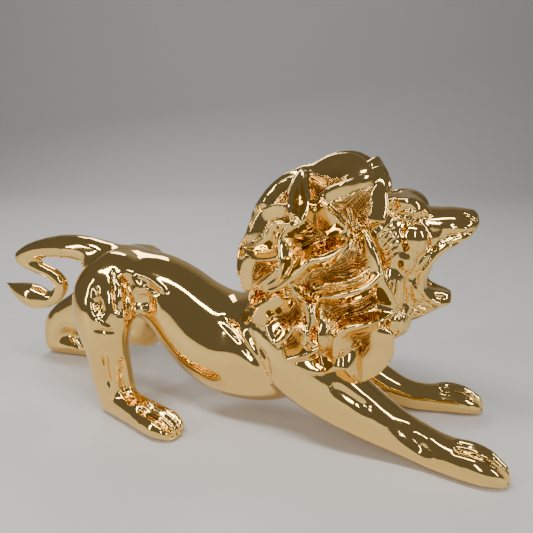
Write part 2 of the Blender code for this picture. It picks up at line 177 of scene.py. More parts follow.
def mirrored(rows):
    return tuple((row[0], -row[1]) + tuple(row[2:]) for row in rows)


def pressTogether(name, pieces, grain):  # joins the forms as clay is pressed together
    pick(*pieces)
    bpy.ops.object.join()
    piece = bpy.context.object
    piece.name = piece.data.name = name
    return finishWith(piece, "REMESH", mode="VOXEL", voxel_size=grain * mm)


def rubSmooth(piece, rubs):  # a few rubs at a time, each time giving the lost thickness back
    for done in range(0, rubs, sculpt["rubsAtATime"]):
        now = min(sculpt["rubsAtATime"], rubs - done)
        finishWith(piece, "SMOOTH", factor=sculpt["rub"], iterations=now)
        finishWith(piece, "SMOOTH", factor=sculpt["giveBack"], iterations=now)


def divide(piece, times=1):
    finishWith(piece, "SUBSURF", levels=times, render_levels=times)


def skinTree(piece):
    return BVHTree.FromPolygons([v.co for v in piece.data.vertices],
                                [face.vertices[:] for face in piece.data.polygons])


def layOnSkin(tree, course):
    return np.array([tree.find_nearest(Vector(spot * mm))[0]
                     for spot in smoothCourse(course, sculpt["strokeSteps"])])


def ease(share):
    share = np.clip(share, 0, 1)
    return share * share * (3 - 2 * share)


def followCourse(points, normals, course, room):
    # for the points near a course: which they are, how far from it, how far along, on which side
    low, high = course.min(axis=0) - room * mm, course.max(axis=0) + room * mm
    spots = np.flatnonzero(np.all((points > low) & (points < high), axis=1))
    some = points[spots]
    least = np.full(len(some), np.inf)
    where = np.zeros(len(some), dtype=int)
    for i, place in enumerate(course):
        gap = ((some - place) ** 2).sum(axis=1)
        closer = gap < least
        least[closer] = gap[closer]
        where[closer] = i
    forward = np.gradient(course, axis=0)
    forward /= np.maximum(np.linalg.norm(forward, axis=1), leastLength)[:, None]
    past = ((some - course[where]) * forward[where]).sum(axis=1)
    between = (where > 0) & (where < len(course) - 1)
    away = np.sqrt(np.maximum(least - np.where(between, past, 0) ** 2, 0))
    leftward = np.cross(normals[spots], forward[where])
    lean = ((some - course[where]) * leftward).sum(axis=1) / np.maximum(away, leastLength)
    return spots, away / mm, where / (len(course) - 1), np.clip(lean, -1, 1)


def carve(piece, strokes):
    # each stroke: depth, breadth, share of its length that tapers at each end, course
    tree = skinTree(piece)
    points, normals = getPoints(piece), getNormals(piece)
    depth = np.zeros(len(points))
    for deep, broad, taper, course in strokes:
        laid = layOnSkin(tree, course)
        spots, away, along, lean = followCourse(points, normals, laid, broad * sculpt["strokeReach"])
        fade = ease(np.minimum(along, 1 - along) / taper)
        depth[spots] += deep * fade * np.exp(-(away / broad) ** 2)
    setPoints(piece, points - normals * depth[:, None] * mm)


def findNear(piece, strokes, breadths):  # the points within so many breadths of a stroke
    tree = skinTree(piece)
    points, normals = getPoints(piece), getNormals(piece)
    near = np.zeros(len(points), dtype=bool)
    for deep, broad, taper, course in strokes:
        laid = layOnSkin(tree, course)
        spots, away, along, lean = followCourse(points, normals, laid, broad * breadths)
        near[spots[away < broad * breadths]] = True
    return near


def markPoints(piece, name, shares):  # a vertex group with each point's share
    group = piece.vertex_groups.new(name=name)
    for share in np.unique(shares[shares > 0]):
        group.add(np.flatnonzero(shares == share).tolist(), float(share), "REPLACE")


def editPoints(piece, chosen):  # goes into edit mode with these points selected
    pick(piece)
    bpy.ops.object.mode_set(mode="EDIT")
    bpy.ops.mesh.select_mode(type="VERT")
    bpy.ops.mesh.select_all(action="DESELECT")
    bpy.ops.object.mode_set(mode="OBJECT")
    piece.data.vertices.foreach_set("select", chosen)
    bpy.ops.object.mode_set(mode="EDIT")


def divideNear(piece, strokes):  # a finer skin where a stroke will be carved
    editPoints(piece, findNear(piece, strokes, sculpt["fineWithin"]))
    bpy.ops.mesh.subdivide(number_cuts=1, smoothness=1.0)
    bpy.ops.object.mode_set(mode="OBJECT")


def getEdgeEnds(mesh):
    ends = np.empty(len(mesh.edges) * 2, dtype=np.int32)
    mesh.edges.foreach_get("vertices", ends)
    return ends.reshape(-1, 2)


def dropMidpoints(piece):  # points with two edges, at which triangles would fold onto each other
    edgesAt = np.bincount(getEdgeEnds(piece.data).ravel(), minlength=len(piece.data.vertices))
    editPoints(piece, edgesAt == 2)
    bpy.ops.mesh.dissolve_verts()
    bpy.ops.object.mode_set(mode="OBJECT")


body = {  # limbs: middle, half width and half height of each ring; muscles: middle and half sizes
    "torso": (
        (-99, 0, 97, 14, 15), (-88, 0, 93, 24, 21), (-70, 0, 88, 28, 23), (-55, 0, 85, 27, 24),
        (-42, 0, 78, 27, 26.5), (-28, 0, 65.5, 29, 30.5), (-14, 0, 55.5, 32, 34.5), (0, 0, 50, 34, 37),
        (14, 0, 49.5, 36, 38), (28, 0, 53, 36, 39), (45, 0, 62, 34, 39), (60, 0, 74, 31, 38),
        (72, 0, 92, 28, 34), (84, 0, 108, 25, 28)),
    "tail": (
        (-80, 0, 98, 14, 13), (-92, 0, 102.5, 12, 12), (-104, 0, 106.5, 10.5, 10.5),
        (-118, 0, 109, 9.6, 9.4), (-135, 0, 108.2, 8.6, 8.4), (-152, 0, 105, 7.2, 7.0),
        (-163, 0, 101.2, 6.2, 5.8), (-169.5, 0, 97.6, 5.4, 4.4), (-166, 0, 93.6, 5.2, 4.2),
        (-154, 0, 90.4, 5.4, 4.8), (-142, 0, 86.2, 5.6, 5.2), (-135.5, 0, 79.5, 5.4, 5.2),
        (-139, 0, 71.4, 5.4, 5.2), (-147, 0, 66.2, 6.4, 6.0), (-158, 0, 66.2, 9.0, 9.6),
        (-168, 0, 68.6, 8.6, 8.8), (-178, 0, 71.8, 4.8, 5.2), (-186, 0, 75.4, 1.2, 1.2)),
    "nearHindLeg": (
        (-74, -18, 97, 17, 20), (-78, -27, 88, 18, 23), (-79, -32, 76, 17.5, 22),
        (-78.5, -34, 63, 15.5, 18.6), (-77.5, -34, 50, 13.5, 15.6), (-77, -33.5, 38, 12.2, 15),
        (-76, -33, 26, 11.6, 15), (-74, -32.5, 15, 10.5, 14.5), (-73, -31.5, 9, 9.5, 12.5)),
    "nearHindFoot": (
        (-80, -32, 8.6, 8.8, 8.8), (-68, -36, 10.5, 10.4, 11), (-54, -41, 10, 11, 10.8),
        (-42, -45, 8.6, 12.4, 9.2), (-31, -48, 7.6, 13.2, 8.4), (-24, -49.5, 6, 11, 6.6)),
    "farThigh": (
        (-74, 18, 93, 17, 17), (-79, 25, 80, 17, 23), (-81, 29, 64, 16.5, 24),
        (-83, 31, 49, 15.5, 22.5), (-84.5, 31.5, 38, 14, 18), (-85.5, 31.5, 34, 13, 15)),
    "farHam": (
        (-84, 24, 83, 17, 19), (-99, 32, 74, 16.5, 18.5), (-117, 35.5, 63, 15, 16.5),
        (-135, 38, 53, 13.5, 14.5), (-153, 39.5, 43, 12, 13.5), (-166, 40, 36, 11.4, 12)),
    "farShank": (
        (-88, 31, 37, 13.5, 15), (-106, 33.5, 33, 12.5, 14), (-126, 36.5, 31.5, 12, 13.5),
        (-146, 39, 33, 11.6, 13.5), (-162, 40, 35, 11.4, 13.5), (-172, 40, 28, 11.2, 13),
        (-176, 39.5, 17, 10.5, 11.5), (-176.5, 39, 10, 10, 10.5)),
    "farHindFoot": (
        (-177, 38.5, 8.8, 9, 9), (-165, 40, 9.6, 10.4, 10), (-151, 41.5, 9, 11, 9.4),
        (-139, 43, 8.2, 12.4, 8.8), (-128, 44.5, 7.6, 13.2, 8.4), (-121, 45.2, 6, 11, 6.6)),
    "nearForeleg": (
        (34, -20, 76, 17, 29), (48, -25, 63, 18, 27), (64, -28, 49.5, 18, 24),
        (80, -29, 38.5, 17.5, 20.5), (95, -29, 29.5, 16, 17.6), (108, -29.5, 23, 14.4, 15.2),
        (121, -30.5, 17.6, 12.8, 13), (134, -32, 13.2, 12, 12), (146, -34.4, 11, 11.8, 11.3),
        (158, -36.4, 10.8, 13.2, 11.6), (169, -37.4, 9.0, 13.2, 9.8), (175.5, -37.6, 6.6, 10.5, 7.2)),
    "farForeleg": (
        (34, 20, 76, 17, 29), (46, 25, 60, 17, 25), (60, 28, 46, 16.5, 21), (74, 29, 34.5, 15.5, 17.8),
        (88, 29, 26, 14.2, 15.2), (101, 29.5, 19.6, 12.8, 12.8), (113, 30.5, 14.8, 11.6, 11.2),
        (126, 32, 11.2, 11, 10.6), (138, 34.8, 9.8, 11, 10.2), (149, 37.4, 9.8, 12.4, 10.4),
        (160, 38.8, 8.4, 12.4, 9.2), (167, 39, 6.4, 10, 7)),
    "muscles": ((-80, 18, 91.5, 22, 18, 18), (42, 16, 72, 24, 22, 30), (-70, 0, 90, 26, 26, 20)),
    # depth, breadth, taper, whether the far side has it too, course
    "strokes": (
        (2.6, 4.5, 0.2, 1, ((-62, -30, 106), (-58, -33, 97), (-57, -38, 87), (-58, -42, 75))),
        (4.0, 6.0, 0.45, 1, ((-51, -27, 94), (-51, -26, 72))),
        (2.2, 2.2, 0.3, 0, ((-77.5, -43, 101), (-75.5, -45, 89), (-72, -47, 77))),
        (2.6, 3.8, 0.4, 0, ((-76, -45, 93), (-71.5, -47, 75))),
        (-1.2, 1.4, 0.25, 0, ((-75, -49, 78), (-70, -48, 73), (-65, -45, 70))),
        (1.4, 1.3, 0.25, 0, ((-78, -50, 70), (-70, -48, 69), (-62, -43, 67))),
        (1.6, 1.1, 0.2, 1, ((-70, -32, 108), (-67, -37, 100), (-64, -41, 92), (-63, -43, 79))),
        (-1.5, 1.8, 0.25, 1, ((-65, -33, 101), (-63, -36, 90), (-61, -38, 80), (-61, -41, 72))),
        (3.0, 2.2, 0.3, 1, ((-61, -28, 103), (-57.5, -29, 92), (-57, -28, 81), (-58, -31, 72))),
        (2.0, 1.8, 0.35, 1, ((-51, -26, 94), (-50, -26, 84), (-50.5, -26, 75))),
        (-1.8, 1.6, 0.25, 1, ((-59, -26, 103), (-50.5, -23, 99), (-42.5, -23, 94), (-35, -23, 88.5))),
        (1.8, 1.7, 0.3, 1, ((-52, -24, 94.5), (-46.5, -24, 92), (-41, -25, 88.5))),
        (3.4, 3.0, 0.35, 0, ((-71, -47, 59), (-73.5, -44, 39), (-72, -44, 20))),
        (3.2, 2.4, 0.35, 0, ((-63.5, -40, 50), (-65, -39, 30), (-57, -44, 20), (-51, -47, 18.7))),
        (3.0, 2.8, 0.25, 1, ((-2, -26, 82), (10, -31, 74), (21, -37, 64), (31, -40, 52), (38, -38, 40))),
        (-1.8, 3.0, 0.25, 1, ((4, -28, 84), (16, -32, 76), (27, -38, 65), (37, -41, 53))),
        (1.6, 1.4, 0.25, 1, ((23, -34, 77), (31, -40, 62), (36, -40, 48))),
        (1.3, 1.2, 0.25, 1, ((29.5, -38, 70), (37.5, -41, 59), (39, -36, 40))),
        (1.8, 3.0, 0.3, 1, ((76, -45, 53), (90, -42, 44), (104, -42, 36))),
        (3.0, 5.4, 0.45, 1, ((110, -40, 33), (122, -40, 25), (134, -43, 17), (142, -45, 14))),
        (1.4, 1.6, 0.3, 0, ((-162.4, 32, 24.5), (-155.6, 32.5, 15), (-147, 31, 7.6))),
    ),
}

paws = {  # where the toes part, where they end, half the width, the height
    "nearFore": ((155, -36), (182, -38), 12.5, 21),
    "farFore": ((146, 37), (173, 39.5), 12, 20),
    "nearHind": ((-41, -45), (-17, -52), 12.5, 17),
    "farHind": ((-137, 43.5), (-114, 46), 12.5, 17),
}
toes = {
    "depth": 3.8,
    "breadth": 1.8,
    "taper": 0.1,
    "gaps": (-0.5, 0.0, 0.5),  # shares of half the paw's width
    # shares of the way to the toes' end and of the paw's height
    "course": ((-0.25, 1.0), (0.2, 1.0), (0.6, 0.8), (0.95, 0.5), (1.08, 0.05)),
}


def bodyStrokes():
    strokes = []
    for deep, broad, taper, both, course in body["strokes"]:
        strokes.append((deep, broad, taper, course))
        if both:
            strokes.append((deep, broad, taper, mirrored(course)))
    for start, end, halfWidth, height in paws.values():
        ahead = Vector((end[0] - start[0], end[1] - start[1])).normalized()
        for gap in toes["gaps"]:
            aside = Vector((-ahead.y, ahead.x)) * gap * halfWidth
            course = []
            for along, high in toes["course"]:
                spot = Vector(start).lerp(Vector(end), along) + aside
                course.append((spot.x, spot.y, height * high))
            strokes.append((toes["depth"], toes["breadth"], toes["taper"], course))
    return strokes


def buildBody():
    limbs = ("tail", "nearHindLeg", "nearHindFoot", "farThigh", "farHam", "farShank", "farHindFoot",
             "nearForeleg", "farForeleg")
    pieces = [addLimb(body["torso"], sculpt["torsoSides"])] + [addLimb(body[name]) for name in limbs]
    pieces += addMasses(body["muscles"])
    piece = pressTogether("body", pieces, sculpt["bodyGrain"])
    rubSmooth(piece, sculpt["bodyRubs"])
    divide(piece)
    strokes = bodyStrokes()
    divideNear(piece, strokes)
    markPoints(piece, "carved", findNear(piece, strokes, sculpt["smoothWithin"]).astype(float))
    rubs = {"factor": sculpt["rub"], "iterations": sculpt["carvedRubs"], "vertex_group": "carved"}
    finishWith(piece, "SMOOTH", **rubs)
    carve(piece, strokes)
    finishWith(piece, "SMOOTH", **rubs)
    print("body carved", len(piece.data.polygons))
    return piece


head = {  # forms of one row have their middle and half sizes, long ones their rings as in the body
    "masses": (
        (97, 0, 138, 21, 25, 21), (103, 0, 112, 17, 21, 24), (111, 8, 117, 10, 9, 19),
        (104, 16, 106, 12, 10, 18), (107, 12, 84, 11, 9, 13), (110, 0, 80, 10, 9, 12),
        (108, 0, 149, 15, 16, 10.5), (105, 15.5, 129, 9, 8.5, 17), (127, 8, 136.5, 7, 6, 7)),
    "brow": (113, 10.5, 151.6, 9.6, 8.6, 8),
    "browRidge": (
        (101, -14.5, 154.6, 3, 3), (106.5, -15.6, 156.4, 3.4, 3.2), (113, -15.2, 156.6, 3.4, 3.2),
        (119, -12.6, 154.4, 3, 3), (122.6, -9.6, 150.6, 2.2, 2.4)),
    "cheek": ((117, 16.5, 136, 9, 8, 10.5), (113.8, 16.5, 124.5, 6.4, 7, 9.5)),
    "cheekWeb": ((121, 9.5, 122.5, 8.5, 7.6, 14), (119, 9.5, 107, 8, 7.6, 12)),
    "whiskerPad": (138, 6.6, 139.8, 11.6, 6.6, 6.2),
    "nosePad": (147.2, 0, 147.2, 4.6, 6.6, 4.6),
    "snout": (
        (100, 0, 142, 19, 15), (112, 0, 141, 17, 12.5), (122, 0, 141.4, 14.5, 11),
        (131, 0, 142.2, 13, 10), (138, 0, 143.2, 12.2, 9.4), (144.3, 0, 143.8, 10.4, 8.4)),
    "jaw": (
        (98, 0, 90, 17, 16), (110, 0, 90, 14.5, 13), (121, 0, 92.3, 12, 10), (130, 0, 95.2, 9.5, 7.4),
        (137, 0, 96.6, 7, 5.2)),
    "tongue": ((106, 0, 101, 8, 4), (118, 0, 100.5, 6, 3.4), (127, 0, 101.5, 4.5, 2.4)),
    "upperLip": (
        (141, -7.5, 134, 2.6, 2.6), (134, -11.3, 131.2, 3.2, 3.2), (127.6, -13.2, 124.5, 3.3, 3.3),
        (122.6, -14, 117, 3.3, 3.3), (121.8, -13.4, 109, 3.1, 3.1), (124.6, -12.6, 102.6, 2.8, 2.8),
        (128.8, -11, 98.8, 2.5, 2.5), (134.6, -8.6, 96, 2.4, 2.4), (139.6, -4.4, 96, 2.2, 2.2)),
    "lowerLip": (
        (123.5, -11, 105.8, 2.4, 2.4), (128.5, -7.6, 102.4, 2.2, 2.2), (134.6, -5.2, 101, 2.0, 2.0),
        (140, -2.6, 100, 1.8, 1.8)),
    "eye": (112.6, 17.4, 151.4, 3.6, 2.6, 2.3),
}

# lines cut into the face once it is cast: depth, breadth, taper, course; below nought is a ridge
faceLines = {
    "socket": (
        (1.4, 1.9, 0.3, ((113, -15, 145.6), (117.5, -15, 144.4), (122.5, -14.5, 141),
                         (126, -13.5, 135.6))),),
    "eyelids": (
        (1.4, 0.9, 0.2, ((107.6, -20, 151.4), (110.4, -20, 153.6), (114.2, -19, 153.8),
                         (117.2, -17, 151.8))),
        (1.1, 0.8, 0.2, ((107.8, -20, 150.8), (110.8, -20, 149.2), (114.4, -19, 148.8),
                         (117.4, -17, 150.8)))),
    "lowerLid": (
        (-1.1, 1.0, 0.3, ((103.6, -20, 150.6), (107.6, -20, 148.4), (112.6, -20, 146.9),
                          (118, -17, 147.2))),),
    "pleats": tuple(
        (0.9, 0.5, 0.2, ((118.6 + 1.3 * i, -15 + 1.1 * i, 147.4 - 0.5 * i),
                         (120.6 + 1.1 * i, -13 + 1.1 * i, 152.0 - 1.2 * i))) for i in range(5)),
    "muzzleRoll": (
        (-1.1, 1.7, 0.3, ((131, -14, 141.6), (136, -13, 142.8), (142.5, -12, 143), (149, -9, 142.8))),),
    "lipFolds": (
        (2.2, 1.3, 0.3, ((133.4, -13, 137), (137.8, -12, 138.2), (143, -10, 139.4), (148.6, -8, 141))),
        (-0.9, 1.0, 0.3, ((132.2, -13, 132.4), (136.4, -12, 135.2), (142.4, -10, 137.2),
                          (149, -7, 139))),
        (1.0, 0.8, 0.3, ((134.4, -12, 130.8), (138.6, -11, 133.2), (144, -9, 135.2), (149, -6, 137))),
        (-0.9, 1.1, 0.3, ((132.1, -13, 143), (131.6, -13, 138.1), (131.3, -13, 133.8),
                          (130, -13, 128.4)))),
    "ribbon": (
        (1.2, 1.1, 0.25, ((130.6, -14, 130), (125.6, -15, 123), (121.6, -16, 115.6), (121.4, -15, 107.6),
                          (124.8, -14, 101), (130.4, -11, 97.8))),
        (-0.8, 0.9, 0.25, ((128.6, -14, 131), (123, -15, 124), (118.6, -16, 115.4), (118.2, -16, 106.8),
                           (121.6, -14, 99.4), (128.4, -12, 95)))),
    "chinDent": ((1.1, 1.3, 0.3, ((129.6, -9, 98.8), (134, -8, 98.2), (138, -5, 98.2))),),
    "noseWing": (
        (0.9, 0.8, 0.3, ((141.2, -6, 151), (145.1, -7, 148.8), (148.7, -6.5, 146.1),
                         (150.8, -5.5, 142))),),
    "nostril": ((1.5, 1.3, 0.1, ((150.2, -3.6, 147.2), (151.4, -3.8, 145.2))),),
    "chinFolds": (
        (1.3, 0.9, 0.3, ((122.6, -13, 99.6), (126.8, -12, 96), (132.3, -10, 92.8))),
        (1.2, 0.9, 0.3, ((121.6, -13, 96.6), (126.5, -12, 93.2), (130.6, -10, 90.6))),
        (1.2, 0.9, 0.3, ((119.2, -13, 94.4), (122.7, -12, 90.9), (127.9, -9, 87.4)))),
    "mouthCorner": (
        (1.4, 1.3, 0.3, ((121.4, -15, 119), (118.6, -15.5, 111), (117.6, -15, 102.4), (119, -14, 95))),),
}

# rows of fur strands: how many, depth, breadth, taper, courses of the first and the last
faceFur = {
    "temple": (
        6, 1.0, 0.75, 0.25, ((98.3, -22, 157), (102, -22, 163), (103.4, -22, 167.1)),
        ((104.6, -19, 145.8), (107.2, -19, 150.4), (109.6, -18, 153.4))),
    "cheek": (
        6, 1.0, 0.75, 0.25, ((97.6, -24, 136.4), (102.4, -24, 142.8), (108, -22, 148.2)),
        ((102.6, -23, 122.6), (106.0, -22, 127.6), (108.4, -21, 130.4))),
    "tuft": (
        8, 1.1, 0.8, 0.25, ((106.3, -22, 115.2), (105.6, -22, 107.4), (103.3, -22, 98.3),
                            (101.4, -21, 86)),
        ((115.6, -18, 112.6), (119, -17, 102), (120.4, -16, 93), (119.6, -14, 82))),
    "beard": (
        5, 0.9, 0.8, 0.25, ((119, -5, 78), (114, -5, 73), (108, -4, 70)),
        ((121, -12, 86), (114.6, -14, 78), (106, -14, 72))),
}


def faceStrokes():
    strokes = []
    for lines in faceLines.values():
        strokes += lines
    for count, deep, broad, taper, first, last in faceFur.values():
        for i in range(count):
            course = np.array(first) + (np.array(last) - np.array(first)) * i / (count - 1)
            strokes.append((deep, broad, taper, tuple(map(tuple, course))))
    return strokes + [(deep, broad, taper, mirrored(course)) for deep, broad, taper, course in strokes]


def buildHead():
    pieces = addMasses(head["masses"] + (head["brow"],) + head["cheek"] + head["cheekWeb"]
                       + (head["whiskerPad"], head["nosePad"], head["eye"]))
    pieces += [addLimb(head[name]) for name in ("snout", "jaw", "tongue")]
    for name in ("browRidge", "upperLip", "lowerLip"):
        pieces += [addLimb(rows, sculpt["lipSides"]) for rows in (head[name], mirrored(head[name]))]
    piece = pressTogether("head", pieces, sculpt["headGrain"])
    rubSmooth(piece, sculpt["headRubs"])
    divide(piece)
    print("head shaped", len(piece.data.polygons))
    return piece


# crests on a smooth mass, each in degrees forward and up from straight out sideways
mane = {
    "masses": (
        (58, 0, 122, 44, 45, 49), (76, 0, 148, 30, 33, 29.5), (36, 0, 111, 27.5, 34, 33),
        (84, 22, 84, 27, 26, 31), (56, 26, 81, 27, 22.5, 31), (86, 19, 108, 24, 27, 36)),
    "middle": (60, 0, 118),
    # each crest: its slope's reach to its left and right, how much of each side is polished, its
    # share of the height where it starts and where it ends, and its turns
    "crests": (
        ((20, 8), (4.5, 8), (1.0, 1.0), ((37, 62), (24, 58), (13, 55), (9, 49), (17, 40), (27, 32),
                                         (26, 22), (16, 15), (4, 11), (-9, -2), (-20, -11), (-32, -13))),
        ((8, 16), (3, 6), (0.7, 1.0), ((-15, 80), (-5, 63), (0, 47), (-4, 35), (-13, 29), (-16, 21),
                                       (-14, 8), (-16, -3), (-27, -11))),
        ((8, 10), (4, 3), (0.7, 0.95), ((-16, 80), (-15, 64), (-13, 46), (-10, 39))),
        ((14, 7), (5, 4), (0.8, 0.9), ((-12, 45), (-25, 45), (-37, 39), (-45, 22))),
        ((9, 9), (4, 4), (0.95, 0.95), ((-10, 33), (-22, 32), (-28, 22), (-38, 16), (-50, 13), (-37, 8),
                                        (-26, 9), (-16, 12))),
        ((10, 10), (4, 4), (0.75, 0.8), ((-54, 4), (-55, -8), (-54, -23))),
        ((8, 10), (4, 6), (1.0, 1.0), ((-17, 3), (-27, -7), (-39, -17), (-45, -28), (-40, -38),
                                       (-31, -38), (-25, -28), (-12, -18))),
        ((14, 8), (7, 3.5), (1.0, 1.0), ((40, 28), (43, 12), (45, 0), (49, -10), (51, -17), (47, -23),
                                         (38, -25), (28, -27), (22, -32), (20, -40))),
        ((18, 6), (5, 2.5), (1.0, 1.0), ((44, 3), (37, -3), (24, -10), (10, -19), (6, -25), (8, -31),
                                         (13, -36), (8, -41), (-6, -45))),
        ((7, 9), (3, 3), (0.9, 0.9), ((-7, -7), (-2, -17), (3, -24), (5, -31), (2, -39))),
        ((12, 8), (7, 4), (1.0, 1.0), ((-2, -48), (12, -55), (23, -45), (30, -57), (38, -50), (44, -42),
                                       (46, -32))),
        ((7, 14), (3, 5), (1.0, 1.0), ((43, 68), (44, 59), (48, 48), (49, 40))),
        ((10, 20), (8, 13), (0.72, 0.95), ((-17, 88), (-3, 88), (13, 86), (27, 79), (37, 64))),
        ((8, 8), (4, 4), (0.66, 0.62), ((-20, 74), (-36, 66), (-44, 52), (-57, 47), (-72, 48))),
        ((8, 8), (4, 4), (0.62, 0.66), ((-46, 36), (-60, 32), (-66, 18), (-78, 10), (-82, -8),
                                        (-74, -22))),
        ((7, 9), (4, 3), (0.9, 0.9), ((-20, -35), (-14, -40), (-8, -37), (-3, -32), (3, -35), (6, -39))),
        ((6, 6), (1.5, 1.5), (0.62, 0.62), ((43, 14), (42, 8), (37, 3), (28, -2), (18, -6), (8, -10))),
    ),
    # crests along the back of the neck, on neither side
    "middleCrests": (
        ((9, 9), (4, 4), (0.7, 0.64), ((-17, 88.4), (-36, 80), (-50, 76), (-66, 62), (-74, 48),
                                       (-87, 26), (-92, 4))),
    ),
    "crestSteps": 14,
    "height": 15.0,
    "sharpness": 1.45,
    "foot": 0.52,  # the share of the height at which the smooth mass has its skin
    "tipRound": 1.1,
    "valleyRound": 0.05,
    "farTurn": 4,  # degrees by which the far side's crests are turned
    "room": 20.0,
    "polishedWidth": 4.0,  # away from every crest
    "polishedFade": 2.2,
    "strands": 7,  # between two crests
    "strandRise": 1.2,
    "strandRubs": 1,
    "shadeTop": 1.2,  # painted shade: the gold of the strands is painted darker below this rise, and again in the pits
    "pitShade": 0.7,
    "pitTop": 0.5,
}


def crestCourses(tree):
    middle = Vector(mane["middle"]) * mm
    courses = []
    for side in (-1, 1):
        crests = mane["crests"] + (mane["middleCrests"] if side == -1 else ())
        for reaches, polishes, heights, crest in crests:
            course = []
            for ahead, above in smoothCourse(crest, mane["crestSteps"]):
                out = math.radians(math.hypot(ahead, above))
                turn = math.atan2(above, ahead) + (math.radians(mane["farTurn"]) if side == 1 else 0)
                way = Vector((math.sin(out) * math.cos(turn), side * math.cos(out),
                              math.sin(out) * math.sin(turn)))
                course.append(tree.ray_cast(middle, way)[0])
            courses.append((reaches[::-side], polishes[::-side], heights, np.array(course)))
    return courses


def storeValue(piece, name, values):
    attribute = piece.data.attributes.new(name, "FLOAT", "POINT")
    attribute.data.foreach_set("value", values.astype(np.float32))


def combMane(piece):
    points, normals = getPoints(piece), getNormals(piece)
    total = np.zeros(len(points))
    nearest = np.full(len(points), mane["room"])  # distances from the two nearest crests
    second = np.full(len(points), mane["room"])
    polished = np.full(len(points), mane["polishedWidth"])
    for reaches, polishes, (starts, ends), course in crestCourses(skinTree(piece)):
        spots, away, along, lean = followCourse(points, normals, course, mane["room"])
        leftward, rightward = (1 + lean) / 2, (1 - lean) / 2
        reach = reaches[0] * leftward + reaches[1] * rightward
        rounded = np.sqrt(away ** 2 + mane["tipRound"] ** 2) - mane["tipRound"]
        height = starts + (ends - starts) * along
        lock = np.clip(1 - rounded / reach, 0, 1) ** mane["sharpness"] * height
        total[spots] += np.exp(lock / mane["valleyRound"]) - 1
        closer = away < nearest[spots]
        second[spots] = np.where(closer, nearest[spots], np.minimum(second[spots], away))
        nearest[spots[closer]] = away[closer]
        polished[spots[closer]] = (polishes[0] * leftward + polishes[1] * rightward)[closer]
    rise = mane["valleyRound"] * np.log(1 + total)
    stranded = ease((nearest - polished) / mane["polishedFade"])
    across = nearest / (nearest + second) * mane["strands"]
    strand = 0.5 + 0.5 * np.cos(across * 2 * math.pi)
    lift = (rise - mane["foot"]) * mane["height"] + strand * stranded * mane["strandRise"]
    setPoints(piece, points + normals * (lift * mm)[:, None])
    finishWith(piece, "SMOOTH", factor=sculpt["rub"], iterations=mane["strandRubs"])
    # painted shade: how deep a point lies in a strand valley or a pit sets how much darker, more orange
    # gold it gets, standing in for the shade and the gold-on-gold reflections there
    pit = mane["pitShade"] * np.clip(1 - rise / mane["pitTop"], 0, 1)
    storeValue(piece, "across", across)
    storeValue(piece, "stranded", stranded)
    storeValue(piece, "paintedShade", np.clip(stranded * (mane["shadeTop"] - rise) + pit, 0, 1))


def buildMane():
    piece = pressTogether("mane", addMasses(mane["masses"]), sculpt["maneGrain"])
    rubSmooth(piece, sculpt["maneRubs"])
    divide(piece, 2)
    combMane(piece)
    print("mane combed", len(piece.data.polygons))
    return piece


def markForm(piece, number):  # numbers the faces, so that the seams can be found after the union
    mark = piece.data.attributes.new("form", "INT", "FACE")
    mark.data.foreach_set("value", np.full(len(piece.data.polygons), number, dtype=np.int32))
    return piece


def softenSeams(piece):  # rounds the inner corner where two forms meet, as a casting has it
    mesh = piece.data
    form = np.empty(len(mesh.polygons), dtype=np.int32)
    mesh.attributes["form"].data.foreach_get("value", form)
    corners = np.empty(len(mesh.polygons), dtype=np.int32)
    mesh.polygons.foreach_get("loop_total", corners)
    edgeOf = np.empty(len(mesh.loops), dtype=np.int32)
    mesh.loops.foreach_get("edge_index", edgeOf)
    formOf = np.repeat(form, corners)
    least, most = np.full(len(mesh.edges), form.max()), np.full(len(mesh.edges), form.min())
    np.minimum.at(least, edgeOf, formOf)
    np.maximum.at(most, edgeOf, formOf)
    ends = getEdgeEnds(mesh)
    near = np.zeros(len(mesh.vertices))
    near[ends[least < most].ravel()] = 1
    for i in range(sculpt["seamWidth"]):
        spread = near.copy()
        np.maximum.at(spread, ends[:, 0], near[ends[:, 1]] * sculpt["seamFade"])
        np.maximum.at(spread, ends[:, 1], near[ends[:, 0]] * sculpt["seamFade"])
        near = spread
    markPoints(piece, "seam", near)
    finishWith(piece, "SMOOTH", factor=sculpt["seamRub"], iterations=sculpt["seamRubs"],
               vertex_group="seam")
    print("seams softened", int((near > 0).sum()))


def thinOut(piece):  # fewer triangles, which keep the reflections of the dense skin
    pick(piece)
    bpy.ops.object.shade_smooth()
    bpy.ops.object.duplicate()
    dense = bpy.context.object
    print("dense triangles", len(dense.data.polygons))
    finishWith(piece, "DECIMATE", ratio=sculpt["trianglesMost"] / len(dense.data.polygons))
    spots = getPoints(piece)
    spots[:, 2] = np.maximum(spots[:, 2], 0)
    setPoints(piece, spots)
    finishWith(piece, "DATA_TRANSFER", object=dense, use_loop_data=True,
               data_types_loops={"CUSTOM_NORMAL"}, loop_mapping="POLYINTERP_NEAREST")
    bpy.data.objects.remove(dense, do_unlink=True)


